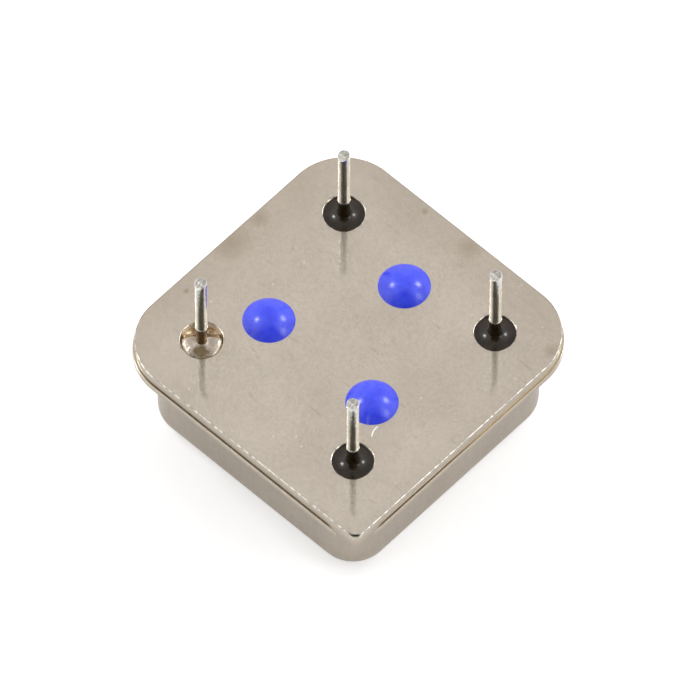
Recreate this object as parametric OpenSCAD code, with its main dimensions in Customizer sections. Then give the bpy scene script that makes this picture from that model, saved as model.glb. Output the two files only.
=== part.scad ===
// Crystal clock oscillator in a half-size metal can, resistance welded, with four pins.
// It lies on its lid: +Z runs from the lid to the tips of the pins.
// The origin is the middle of the lid's outer face. The sharp corner, pin 1, is at +X -Y.

/* [Header] */
// Distance from a pin's axis to the edge of the square header plate
pin_edge = 2.41; // [2.3:0.01:2.7]
// Radius of the header's three round corners
header_r = 2.26; // [2.1:0.02:2.6]
// Radius of the sharp corner that marks pin 1
key_r = 0.35; // [0.1:0.05:0.5]
// Thickness of the header's rim
rim_t = 0.46; // [0.4:0.01:0.6]
// Height of the raised platform, measured from the rim into the can
platform_h = 0.7; // [0.6:0.05:0.9]
// Gap between the platform and the cover's wall
platform_gap = 0.12; // [0.08:0.01:0.2]
// Width of the bevel along the header's outer edge
edge_bevel = 0.06; // [0.03:0.01:0.12]

/* [Weld] */
// Gap that the weld leaves between the two flanges
weld_gap = 0.06; // [0.04:0.01:0.1]
// Width of the weld ridge
weld_w = 0.3; // [0.2:0.02:0.36]
// Distance from the header's edge to the weld ridge
weld_inset = 0.22; // [0.15:0.01:0.25]
// Length of the closed seam on each side of the sharp corner
key_seam = 1.4; // [1:0.1:2]

/* [Cover] */
// Height of the cover, from the lid to the flange's weld face
cover_h = 4.43; // [4.2:0.01:4.8]
// Distance from the header's edge in to the can's wall
wall_inset = 0.82; // [0.75:0.01:0.95]
// Thickness of the drawn sheet
cover_t = 0.22; // [0.18:0.01:0.28]
// Outside radius of the bend between the wall and the lid
lid_r = 0.85; // [0.5:0.05:1.1]
// Inside radius of the bend between the wall and the flange
root_r = 0.25; // [0.1:0.01:0.3]
// Distance by which the flange stands out past the header
flange_proud = 0.08; // [0:0.01:0.12]

/* [Pins] */
// Side of the square on which the pins stand
pin_pitch = 7.62; // [7.5:0.01:7.7]
// Diameter of a pin's plated part
pin_d = 0.46; // [0.4:0.01:0.5]
// Thickness of the plate on a pin, from the level of the standoffs' tops to its tip
plate_t = 0.005; // [0.003:0.001:0.01]
// Length of a pin outside the header
pin_out = 3.9; // [3:0.05:6.5]
// Length of a pin past the substrate, inside the can
pin_stub = 0.34; // [0.3:0.02:0.6]
// Slope of the sheared facet at the tip
tip_slope = 28; // [15:1:40]
// Distance from the pin's axis to the start of the sheared facet
tip_land = 0.04; // [0:0.01:0.12]

/* [Glass seals] */
// Diameter of the holes that the glass fills
seal_d = 1.48; // [1.4:0.02:1.7]
// Radius of the rounded mouth of a hole
mouth_r = 0.08; // [0.05:0.01:0.12]
// Radius of the glass fillet that climbs a pin
glass_climb = 0.13; // [0.08:0.01:0.16]

/* [Ground joint] */
// Diameter of the recess round the ground pin
recess_d = 1.48; // [1.4:0.02:1.7]
// Depth of that recess
recess_depth = 0.6; // [0.5:0.02:0.7]
// Gap between the braze bead and the recess wall
braze_gap = 0.04; // [0.03:0.01:0.1]
// Height of the braze bead
braze_h = 0.52; // [0.35:0.01:0.56]
// Gap between the ground pin and its bore in the header
pin_bore_gap = 0.02; // [0.01:0.01:0.05]

/* [Standoffs] */
// Diameter of a glass standoff
standoff_d = 1.96; // [1.7:0.02:2.1]
// Height of a glass standoff
standoff_h = 0.42; // [0.3:0.02:0.6]
// Distance from the middle of the header to each standoff
standoff_reach = 3; // [2.8:0.05:3.2]

/* [Substrate] */
// Thickness of the ceramic plate
substrate_t = 0.63; // [0.5:0.01:0.7]
// Width of bare ceramic between the pads and the plate's edge
bare_edge = 0.1; // [0.05:0.01:0.3]
// Gap between the glass fillet and the plate's pin holes
pin_hole_gap = 0.06; // [0.03:0.01:0.1]
// Side of the epoxy film under the plate
bond_w = 5.4; // [5:0.1:5.6]
// Thickness of the epoxy film
bond_t = 0.08; // [0.05:0.01:0.12]
// Thickness of the printed conductors
film_t = 0.03; // [0.02:0.005:0.04]
// Width of the printed tracks
track_w = 0.25; // [0.2:0.01:0.28]
// Gap between a track and the pad beside it
track_gap = 0.2; // [0.15:0.01:0.22]
// Width of the ring pad around a pin hole
pad_ring = 0.22; // [0.15:0.01:0.3]
// Height of the solder fillet at a pin
solder_h = 0.24; // [0.16:0.02:0.28]

/* [Circuit] */
// Width of the oscillator die, along X
chip_w = 1.3; // [1.2:0.05:1.4]
// Depth of the die, along Y
chip_d = 1.1; // [1:0.05:1.2]
// Thickness of the die
chip_t = 0.3; // [0.2:0.01:0.4]
// Distance from the middle of the plate to the middle of the die
chip_y = 1.3; // [1.2:0.05:1.4]
// Diameter of a bond wire
wire_d = 0.05; // [0.03:0.005:0.06]
// Height of a bond wire's loop above the die
wire_loop = 0.26; // [0.2:0.02:0.4]
// Length of the bypass capacitor, along X
capacitor_l = 2; // [1.9:0.05:2.1]
// Width of the capacitor
capacitor_w = 1.25; // [1.1:0.05:1.3]
// Height of the capacitor
capacitor_h = 0.8; // [0.5:0.05:0.9]
// Distance from the middle of the plate to the middle of the capacitor
capacitor_y = 2; // [1.8:0.05:2.2]
// Length of the capacitor's metal ends
capacitor_wrap = 0.35; // [0.25:0.05:0.45]
// Thickness of the metal on those ends
capacitor_skin = 0.04; // [0.02:0.01:0.06]

/* [Crystal] */
// Distance from the ceramic plate's edge in to the uprights of the clips
clip_edge = 1; // [0.9:0.02:1.3]
// Thickness of the quartz disc
blank_t = 0.17; // [0.1:0.01:0.3]
// Diameter of the electrodes
electrode_d = 4; // [3:0.1:5]
// Thickness of the electrodes
electrode_t = 0.03; // [0.02:0.005:0.04]
// Height of the disc above its clips' pads
crystal_rise = 1.75; // [1.5:0.05:1.9]
// Thickness of the clips' metal strip
clip_t = 0.12; // [0.08:0.01:0.16]
// Width of a clip
clip_w = 1.3; // [1.2:0.05:1.5]
// Gap between the quartz disc's edge and a clip's upright
clip_gap = 0.05; // [0.03:0.01:0.1]
// Length of a clip's foot, measured from the upright
clip_foot = 0.75; // [0.6:0.05:0.9]
// Length of the ledge under the disc, measured from the upright
clip_ledge = 0.45; // [0.3:0.05:0.6]
// Height of the prongs above the disc
prong_h = 0.35; // [0.25:0.01:0.45]
// Radius of an epoxy dab
dab_r = 0.6; // [0.5:0.02:0.66]
// Height of an epoxy dab
dab_h = 0.24; // [0.16:0.02:0.3]

/* [Hidden] */

// Resolution of the round surfaces
$fn = 64;
// Overlap that carries a cut past the face it opens
cut = 0.2;

// Places of the pins
pin_c = pin_pitch / 2;
core_r = pin_d / 2 - plate_t;
at_enable = [pin_c, -pin_c];
at_ground = [-pin_c, -pin_c];
at_output = [-pin_c, pin_c];
at_supply = [pin_c, pin_c];

// Half sizes and corner radii. All round corners share their centres, corner_c.
header_half = pin_c + pin_edge;
flange_half = header_half + flange_proud;
can_half = header_half - wall_inset;
platform_half = can_half - cover_t - platform_gap;
corner_c = header_half - header_r;
flange_r = flange_half - corner_c;
can_r = can_half - corner_c;
platform_r = platform_half - corner_c;

// Levels along Z
rim_z = cover_h + weld_gap;
face_z = rim_z + rim_t;
platform_z = rim_z - platform_h;
glass_z = face_z - mouth_r;
recess_z = face_z - recess_depth;
braze_r = recess_d / 2 - braze_gap;
braze_angle = acos(core_r / braze_r);
seat_z = face_z + standoff_h;
tip_z = face_z + pin_out;
bond_z = platform_z - bond_t;
parts_z = bond_z - substrate_t;
stub_z = parts_z - film_t - pin_stub;

// Ceramic plate, round the pads at its pin holes
pin_hole_d = pin_d + 2 * (glass_climb + pin_hole_gap);
pad_d = pin_hole_d + 2 * pad_ring;
substrate_half = pin_c + pad_d / 2 + bare_edge;

// Crystal and its clips, in the frame of the printed side
upright_x = substrate_half - clip_edge;
blank_r = upright_x - clip_gap;
clip_bend = clip_t / 2;
prong_w = clip_w / 4;
ledge_w = clip_w - 2 * prong_w;
tab_w = ledge_w + 0.2;
dab_x = upright_x - 0.25;

// Pads, each with a margin round the foot that stands on it
chip_margin = 0.3;
capacitor_margin = 0.15;
clip_margin = 0.3;
chip_pad_w = chip_w + 2 * chip_margin;
chip_pad_d = chip_d + 2 * chip_margin;
capacitor_pad_l = 2 * capacitor_wrap;
capacitor_pad_w = capacitor_w + capacitor_margin;
capacitor_x = capacitor_l / 2 + capacitor_margin - capacitor_pad_l / 2;
clip_pad_l = clip_foot + clip_t + 2 * clip_margin;
clip_pad_w = clip_w + clip_margin;
clip_pad_end = upright_x + clip_t + clip_margin;
clip_pad_x = clip_pad_end - clip_pad_l / 2;

// Fingers that take the bond wires, round the die's pad
finger_gap = 0.4;
finger_x = chip_pad_w / 2 + finger_gap;
finger_y = chip_pad_d / 2 + finger_gap / 2 - chip_y;
crystal_finger_y = finger_y - 0.6;
enable_y = -chip_y - chip_d / 2;
chamfer = 0.3;

// Solder fillets at the capacitor's ends and at the clips
end_solder = 0.12;
clip_solder = 0.26;

// ---- Shared shapes ----

// Square outline with its own radius at each corner, counted from +X +Y anticlockwise
module plate_outline(half, radii) {
    difference() {
        square(2 * half, center = true);
        for (k = [0:3]) rotate(90 * k)
            translate([half - radii[k], half - radii[k]]) difference() {
                square(radii[k] + cut);
                circle(radii[k]);
            }
    }
}

// Carries a profile round such a square. The profile's x is 0 on the square's edge
// and negative inside it, and its y becomes z.
module round_the_edge(half, radii) {
    for (k = [0:3]) {
        next_r = radii[(k + 1) % 4];
        rotate(90 * k) {
            translate([half - radii[k], half - radii[k], 0])
                rotate_extrude(angle = 90) translate([radii[k], 0]) children();
            translate([next_r - half, half, 0]) rotate([90, 0, 90])
                linear_extrude(2 * half - radii[k] - next_r) children();
        }
    }
}

function alike(r) = [r, r, r, r];
function keyed(r) = [r, r, r, key_r];

// Quarter of a ring in 2D, with its bend centre at the origin, open towards +X +Y
module bend(inner_r, t) {
    intersection() {
        difference() {
            circle(inner_r + t);
            circle(inner_r);
        }
        square(inner_r + t);
    }
}

// Fillet in 2D that fills the corner between the X and Y axes
module fillet(r) {
    difference() {
        square(r);
        translate([r, r]) circle(r);
    }
}

// Puts its children on the printed conductors, with +Z away from the substrate
module on_film() {
    translate([0, 0, parts_z - film_t]) mirror([0, 0, 1]) children();
}

// ---- Welded can ----

// Cuts a hole with a rounded mouth, from the header's face down to depth
module mouthed_hole(d, depth) {
    translate([0, 0, face_z - depth]) cylinder(d = d, h = depth + cut);
    rotate_extrude() translate([d / 2 - cut, face_z - mouth_r]) difference() {
        square([cut + mouth_r, mouth_r]);
        translate([cut + mouth_r, 0]) circle(mouth_r);
    }
}

// Stamped steel base: a rim, a raised platform, a weld ridge and the holes for the pins
module header() {
    color([0.75, 0.72, 0.66]) difference() {
        union() {
            translate([0, 0, rim_z]) linear_extrude(rim_t)
                plate_outline(header_half, keyed(header_r));
            translate([0, 0, platform_z]) linear_extrude(platform_h)
                plate_outline(platform_half, alike(platform_r));
            round_the_edge(header_half, alike(header_r))
                translate([-weld_inset - weld_w, cover_h]) square([weld_w, weld_gap]);
            translate([0, 0, cover_h]) linear_extrude(weld_gap) sharp_corner_seam();
        }
        round_the_edge(header_half, keyed(header_r)) polygon([
            [-edge_bevel, face_z], [edge_bevel, face_z - 2 * edge_bevel],
            [edge_bevel, face_z + edge_bevel], [-edge_bevel, face_z + edge_bevel]
        ]);
        for (place = [at_enable, at_output, at_supply])
            translate(place) mouthed_hole(seal_d, rim_t + platform_h + cut);
        translate(at_ground) {
            mouthed_hole(recess_d, recess_depth);
            translate([0, 0, platform_z - cut])
                cylinder(r = core_r + pin_bore_gap, h = rim_t + platform_h);
        }
    }
}

// Outline of the weld metal that closes the seam at the sharp corner
module sharp_corner_seam() {
    intersection() {
        plate_outline(header_half, keyed(header_r));
        translate([header_half - key_seam, -header_half]) square(key_seam);
        difference() {
            translate([corner_c, -header_half]) square(header_r);
            translate([corner_c, -corner_c]) circle(header_r - weld_inset - weld_w / 2);
        }
    }
}

// Drawn cover: lid, wall and flange in one sheet
module cover() {
    wall_x = can_half - flange_half;
    color([0.69, 0.65, 0.6]) {
        linear_extrude(cover_t) plate_outline(can_half - lid_r, alike(can_r - lid_r));
        round_the_edge(flange_half, alike(flange_r)) {
            translate([wall_x - lid_r, lid_r]) mirror([0, 1]) bend(lid_r - cover_t, cover_t);
            translate([wall_x - cover_t, lid_r])
                square([cover_t, cover_h - cover_t - root_r - lid_r]);
            translate([wall_x + root_r, cover_h - cover_t - root_r])
                mirror([1, 0]) bend(root_r, cover_t);
            translate([wall_x + root_r, cover_h - cover_t]) square([-wall_x - root_r, cover_t]);
        }
        translate([0, 0, cover_h - cover_t]) linear_extrude(cover_t) sharp_flange_corner();
    }
}

// Outline of the flange's sharp corner, outside the round corner that the sweep leaves
module sharp_flange_corner() {
    intersection() {
        plate_outline(flange_half, keyed(flange_r));
        difference() {
            translate([corner_c, -flange_half]) square(flange_r);
            translate([corner_c, -corner_c]) circle(flange_r - weld_inset);
        }
    }
}

// ---- Pins, seals and standoffs ----

// Round wire with a sheared tip, plated where it stands in a circuit board
module pin(place) {
    color([0.86, 0.85, 0.8]) translate(place) difference() {
        union() {
            translate([0, 0, seat_z]) cylinder(d = pin_d, h = tip_z - seat_z);
            translate([0, 0, stub_z]) cylinder(r = core_r, h = seat_z - stub_z);
        }
        translate([0, -tip_land, tip_z]) rotate([tip_slope, 0, 0])
            translate([-pin_d, -2 * pin_d, 0]) cube([2 * pin_d, 2 * pin_d, pin_d]);
    }
}

// Glass bead that fills a hole of the header and climbs the pin at both ends
module seal(place) {
    color([0.13, 0.11, 0.1]) translate(place) rotate_extrude() {
        translate([core_r, platform_z]) square([seal_d / 2 - core_r, glass_z - platform_z]);
        translate([core_r, glass_z]) fillet(glass_climb);
        translate([core_r, platform_z]) mirror([0, 1]) fillet(glass_climb);
    }
}

// Rounded bead of braze metal that joins the ground pin to the bottom of its recess
module ground_braze() {
    steps = 12;
    color([0.85, 0.83, 0.78]) translate(at_ground) translate([0, 0, recess_z])
        rotate_extrude() polygon([
            [core_r, 0],
            for (i = [0:steps])
                let (a = braze_angle * i / steps) [braze_r * cos(a), braze_h * sin(a)]
        ]);
}

// Glass dome, the half of an ellipse turned about its own axis
module standoff(angle) {
    steps = 14;
    color([0.25, 0.29, 1]) rotate(angle) translate([standoff_reach, 0, face_z])
        rotate_extrude() polygon([
            [0, 0],
            for (i = [0:steps])
                let (a = 90 * i / steps) [standoff_d / 2 * cos(a), standoff_h * sin(a)]
        ]);
}

// ---- Substrate ----

// Alumina plate with a hole for each pin
module substrate() {
    color([0.95, 0.94, 0.9]) translate([0, 0, parts_z]) difference() {
        translate([0, 0, substrate_t / 2])
            cube([2 * substrate_half, 2 * substrate_half, substrate_t], center = true);
        for (place = [at_enable, at_ground, at_output, at_supply])
            translate(place) translate([0, 0, -cut])
                cylinder(d = pin_hole_d, h = substrate_t + 2 * cut);
    }
}

// Epoxy film between the substrate and the header's platform
module substrate_bond() {
    color([0.8, 0.65, 0.35]) translate([0, 0, bond_z + bond_t / 2])
        cube([bond_w, bond_w, bond_t], center = true);
}

// Printed track through a list of points, whose runs are multiples of 45 degrees
module track(points) {
    joint_r = track_w / 2 / cos(22.5);
    for (i = [0:len(points) - 2]) {
        run = points[i + 1] - points[i];
        translate(points[i]) rotate(atan2(run[1], run[0]))
            translate([0, -track_w / 2]) square([norm(run), track_w]);
    }
    for (point = points) translate(point) rotate(22.5) circle(joint_r, $fn = 8);
}

// Pads and tracks, printed in gold on the side that carries the circuit
module conductors() {
    crystal_x = finger_x - crystal_finger_y;
    edge_x = (clip_pad_end + substrate_half) / 2;
    output_y = capacitor_y + capacitor_pad_w / 2 + track_gap + track_w / 2;
    color([0.85, 0.68, 0.3]) translate([0, 0, parts_z - film_t]) linear_extrude(film_t)
        difference() {
            union() {
                for (place = [at_enable, at_ground, at_output, at_supply])
                    translate(place) circle(d = pad_d);
                translate([0, -chip_y]) square([chip_pad_w, chip_pad_d], center = true);
                for (side = [-1, 1]) {
                    translate([side * capacitor_x, capacitor_y])
                        square([capacitor_pad_l, capacitor_pad_w], center = true);
                    translate([side * clip_pad_x, 0])
                        square([clip_pad_l, clip_pad_w], center = true);
                    track([[side * clip_pad_x, 0], [side * crystal_x, 0],
                           [side * finger_x, crystal_finger_y]]);
                }
                track([at_enable, [-enable_y, enable_y], [finger_x, enable_y]]);
                track([at_ground, [enable_y, enable_y], [0, enable_y]]);
                track([at_output, [-output_y, output_y], [0, output_y], [0, finger_y]]);
                track([at_supply, [capacitor_y, capacitor_y], [capacitor_x, capacitor_y],
                       [capacitor_x, finger_y + chamfer], [capacitor_x - chamfer, finger_y]]);
                track([at_ground, [-edge_x, edge_x - 2 * pin_c], [-edge_x, capacitor_y - chamfer],
                       [chamfer - edge_x, capacitor_y], [-capacitor_x, capacitor_y]]);
            }
            for (place = [at_enable, at_ground, at_output, at_supply])
                translate(place) circle(d = pin_hole_d);
        }
}

// Solder at each pin, at the capacitor's two ends and under each clip's bend
module solder_joints() {
    solder_r = pad_d / 2 - film_t;
    color([0.78, 0.78, 0.8]) on_film() {
        for (place = [at_enable, at_ground, at_output, at_supply])
            translate(place) rotate_extrude() translate([core_r, 0]) intersection() {
                square([solder_r - core_r, solder_h]);
                union() {
                    square([solder_r - core_r, film_t]);
                    translate([0, film_t]) fillet(solder_h - film_t);
                }
            }
        for (side = [-1, 1]) {
            translate([side * capacitor_l / 2, capacitor_y, 0])
                wedge(side, capacitor_w) fillet(end_solder);
            translate([side * (upright_x + clip_t), 0, 0]) wedge(side, clip_w) {
                fillet(clip_solder);
                mirror([1, 0]) fillet(clip_bend + clip_t);
            }
        }
    }
}

// Bar of length l along Y. Its profile's x runs along side * X, and its y along Z.
module wedge(side, l) {
    scale([side, 1, 1]) rotate([90, 0, 0]) translate([0, 0, -l / 2]) linear_extrude(l)
        children();
}

// ---- Circuit ----

// Bare oscillator die
module oscillator_chip() {
    color([0.3, 0.33, 0.4]) on_film() translate([0, -chip_y, chip_t / 2])
        cube([chip_w, chip_d, chip_t], center = true);
}

// Gold loop from a pad on the die to a finger beside it
module bond_wire(from, to) {
    run = to - from;
    length = norm(run);
    bend_r = 2 * wire_d;
    top = chip_t + wire_loop;
    translate(from) rotate(atan2(run[1], run[0])) {
        translate([0, 0, chip_t]) cylinder(d = 2 * wire_d, h = wire_d);
        translate([0, 0, chip_t]) cylinder(d = wire_d, h = wire_loop - bend_r);
        translate([length, 0, 0]) cylinder(d = wire_d, h = top - bend_r);
        translate([bend_r, 0, top]) rotate([0, 90, 0])
            cylinder(d = wire_d, h = length - 2 * bend_r);
        translate([bend_r, 0, top - bend_r]) rotate([90, 0, 0])
            rotate([0, 0, 90]) rotate_extrude(angle = 90) translate([bend_r, 0]) circle(d = wire_d);
        translate([length - bend_r, 0, top - bend_r]) rotate([90, 0, 0])
            rotate_extrude(angle = 90) translate([bend_r, 0]) circle(d = wire_d);
    }
}

// Six bond wires: output, supply, enable, ground and the two sides of the crystal
module bond_wires() {
    inset = 0.15;
    pad_x = chip_w / 2 - inset;
    pad_y = chip_d / 2 - inset;
    color([0.9, 0.75, 0.3]) on_film() {
        bond_wire([0, pad_y - chip_y], [0, finger_y]);
        bond_wire([pad_x, pad_y - chip_y], [capacitor_x - chamfer, finger_y]);
        bond_wire([pad_x, -pad_y - chip_y], [finger_x, enable_y]);
        bond_wire([-pad_x, -pad_y - chip_y], [-pad_x, -chip_y - chip_pad_d / 2 + inset / 2]);
        for (side = [-1, 1])
            bond_wire([side * pad_x, -chip_y], [side * finger_x, crystal_finger_y]);
    }
}

// Outer block of the capacitor, less the metal's thickness where skin is given
module capacitor_block(skin = 0) {
    cube([capacitor_l - 2 * skin, capacitor_w - 2 * skin, capacitor_h - 2 * skin], center = true);
}

// Ceramic body of the chip capacitor
module bypass_capacitor() {
    color([0.72, 0.6, 0.45]) on_film() translate([0, capacitor_y, capacitor_h / 2])
        capacitor_block(capacitor_skin);
}

// The capacitor's two plated ends
module capacitor_ends() {
    color([0.8, 0.8, 0.82]) on_film() translate([0, capacitor_y, capacitor_h / 2])
        difference() {
            capacitor_block();
            capacitor_block(capacitor_skin);
            cube([capacitor_l - 2 * capacitor_wrap, capacitor_w + cut, capacitor_h + cut],
                 center = true);
        }
}

// ---- Crystal ----

// Round quartz disc
module quartz_blank() {
    color([0.85, 0.9, 0.92, 0.6]) on_film() translate([0, 0, crystal_rise])
        cylinder(r = blank_r, h = blank_t);
}

// Outline of an electrode with a tab that runs to the disc's edge on one side
module electrode_outline(side) {
    circle(d = electrode_d);
    intersection() {
        translate([(side - 1) * blank_r, -tab_w / 2]) square([2 * blank_r, tab_w]);
        circle(blank_r);
    }
}

// Metal film on the disc's face towards the header
module electrode_header_side() {
    color([0.85, 0.85, 0.87]) on_film() translate([0, 0, crystal_rise - electrode_t])
        linear_extrude(electrode_t) electrode_outline(-1);
}

// Metal film on the disc's face towards the lid
module electrode_lid_side() {
    color([0.85, 0.85, 0.87]) on_film() translate([0, 0, crystal_rise + blank_t])
        linear_extrude(electrode_t) electrode_outline(1);
}

// Bent strip: a foot on the pad, an upright, a lanced ledge under the disc and two prongs
module crystal_clip(side, seat) {
    prongs = crystal_rise + blank_t + prong_h;
    bend_z = clip_t + clip_bend;
    color([0.8, 0.79, 0.75]) on_film() translate([side * upright_x, 0, 0]) difference() {
        wedge(side, clip_w) {
            translate([-clip_foot, 0]) square([clip_foot - clip_bend, clip_t]);
            translate([-clip_bend, bend_z]) mirror([0, 1]) bend(clip_bend, clip_t);
            translate([0, bend_z]) square([clip_t, prongs - bend_z]);
            translate([-clip_ledge, seat - clip_t]) square([clip_ledge + clip_t, clip_t]);
        }
        translate([0, 0, seat + prongs / 2]) cube([3 * clip_t, ledge_w, prongs], center = true);
        for (edge = [-1, 1])
            translate([-side * clip_ledge / 2, edge * clip_w / 2, seat - clip_t / 2])
                cube([clip_ledge, 2 * prong_w, 2 * clip_t], center = true);
    }
}

// The left clip's ledge lies under the tab of the electrode, the right one's on bare quartz
module crystal_clip_left() {
    crystal_clip(-1, crystal_rise - electrode_t);
}

module crystal_clip_right() {
    crystal_clip(1, crystal_rise);
}

// Silver-filled epoxy that bonds the disc to the prongs of each clip
module conductive_dabs() {
    steps = 8;
    color([0.6, 0.6, 0.62]) on_film() difference() {
        for (side = [-1, 1]) intersection() {
            translate([side * dab_x, 0, crystal_rise + blank_t])
                rotate_extrude() polygon([
                    [0, 0],
                    for (i = [0:steps])
                        let (a = 90 * i / steps) [dab_r * cos(a), dab_h * sin(a)]
                ]);
            cube([2 * upright_x, clip_w, 2 * (crystal_rise + blank_t + dab_h)], center = true);
        }
        translate([0, 0, crystal_rise + blank_t])
            linear_extrude(electrode_t) electrode_outline(1);
    }
}

header();
cover();
seal(at_enable);  // seal_enable
seal(at_output);  // seal_output
seal(at_supply);  // seal_supply
pin(at_enable);  // pin_enable
pin(at_ground);  // pin_ground
pin(at_output);  // pin_output
pin(at_supply);  // pin_supply
ground_braze();
standoff(90);  // standoff_rear
standoff(210);  // standoff_left
standoff(330);  // standoff_right
substrate();
substrate_bond();
conductors();
solder_joints();
oscillator_chip();
bond_wires();
bypass_capacitor();
capacitor_ends();
quartz_blank();
electrode_header_side();
electrode_lid_side();
crystal_clip_left();
crystal_clip_right();
conductive_dabs();
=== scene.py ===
"""A crystal clock oscillator in a welded steel can, lying on its lid with its four pins up.

The pieces follow the order of assembly: header, glass seals, pins, ground joint, standoffs,
substrate and circuit, crystal, cover, and at the end the table, the lamps and the camera.
Sizes are in millimetres and are made metres where a mesh is filled.
"""

import bmesh
import bpy
import numpy as np
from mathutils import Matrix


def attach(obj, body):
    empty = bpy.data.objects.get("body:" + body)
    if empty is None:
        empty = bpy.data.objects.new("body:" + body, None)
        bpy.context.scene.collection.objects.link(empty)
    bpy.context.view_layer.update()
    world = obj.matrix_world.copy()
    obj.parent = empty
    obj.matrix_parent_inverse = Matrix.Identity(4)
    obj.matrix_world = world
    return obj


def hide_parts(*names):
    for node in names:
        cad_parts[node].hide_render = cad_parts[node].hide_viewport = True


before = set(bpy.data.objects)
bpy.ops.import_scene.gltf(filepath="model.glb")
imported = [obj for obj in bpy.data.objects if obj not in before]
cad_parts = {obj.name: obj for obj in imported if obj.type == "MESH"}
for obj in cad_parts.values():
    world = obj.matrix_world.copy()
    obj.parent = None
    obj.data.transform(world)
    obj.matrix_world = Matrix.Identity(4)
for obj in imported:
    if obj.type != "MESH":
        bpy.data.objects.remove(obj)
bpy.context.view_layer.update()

# ---- Header ----
# The header is the can's base: a square of steel, stamped with a platform that enters the cover
# and pierced for the pins, then plated with satin nickel. Its one sharp corner marks pin 1.
# A ridge under its rim melts on to the cover's flange when the can is welded.

MM = 0.001
CORNER_C = 3.96
HEADER_HALF = 6.22
KEY_R = 0.35
BEVEL, KEY_BEVEL = 0.035, 0.11
FACE_Z = 4.95
RIM_Z = 4.49
FLANGE_Z = 4.43
PLATFORM_HALF = 5.06
PLATFORM_Z = 3.79
RIDGE_OUT, RIDGE_IN = 6.0, 5.7
SIDE_FOOT_Z = 4.8
KEY_REACH, KEY_FADE = 0.55, 0.3
KEY_SEAM, SEAM_FADE = 1.4, 0.5
PIN_C = 3.81
CORE_R = 0.225
SEAL_R = 0.765
RECESS_R, RECESS_Z = 0.785, 4.35
BORE_R = 0.245
MOUTH_R = 0.055
SIDE_STEPS, CORNER_STEPS, MOUTH_ROWS = 12, 56, 9


def quarter(half, corner_r):
    """A quarter of a square plate's edge, from the middle of one side to the middle of the next.

    It is half a side, then a corner, which is an arc between two short straights where the
    corner is sharper than the rest, then half of the next side.
    """
    side = np.linspace(0, CORNER_C, SIDE_STEPS + 1)[:-1]
    u = np.linspace(0, 1, CORNER_STEPS + 1)
    lead = half - corner_r - CORNER_C
    share = 0.25 if lead > 0.001 else 0.0
    angle = np.clip((u - share) / (1 - 2 * share), 0, 1) * np.pi / 2
    rise = np.interp(u, [0, share, 1], [0, 1, 1]) if share else u * 0
    x = CORNER_C + lead * rise[::-1] + corner_r * np.cos(angle)
    y = CORNER_C + lead * rise + corner_r * np.sin(angle)
    whole = np.full(SIDE_STEPS, half)
    x = np.concatenate([whole, x, side[::-1]])
    y = np.concatenate([side, y, whole])
    return np.stack([x, y], -1)


def turned(points, quarters):
    """Points turned about Z by whole quarter turns."""
    x, y = points[..., 0], points[..., 1]
    return np.stack([(x, y), (-y, x), (-x, -y), (y, -x)][quarters], -1)


def edge_ring(half, z, key_r=None):
    """The whole edge of a plate at height z, with its key corner at +X -Y."""
    radii = [half - CORNER_C] * 3 + [key_r or half - CORNER_C]
    parts = [turned(quarter(half, r), k) for k, r in enumerate(radii)]
    ring = np.concatenate([p[:-1] for p in parts] + [parts[0][:1]])
    return np.column_stack([ring, np.full(len(ring), z)])


def cell_ring(half, z, quarters, key_r=None):
    """The edge of one quarter of a plate: its outer edge, then in to the middle and out again."""
    outer = quarter(half, key_r or half - CORNER_C)
    run = np.linspace(0, half, 2 * SIDE_STEPS + 1)[1:]
    down = np.stack([run * 0, run[::-1]], -1)[1:]
    out = np.stack([run, run * 0], -1)
    ring = turned(np.concatenate([outer, down, [[0, 0]], out]), quarters)
    return np.column_stack([ring, np.full(len(ring), z)])


def circle_ring(place, angles, radius, z):
    """Points at the given angles round a place, at one radius and height."""
    x = place[0] + radius * np.cos(angles)
    y = place[1] + radius * np.sin(angles)
    return np.stack([x, y, np.broadcast_to(z, np.shape(x))], -1)


def between(first, last, shares):
    """Rings that run straight from one ring to another, at the given shares of the way."""
    return [first + (last - first) * s for s in shares]


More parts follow.
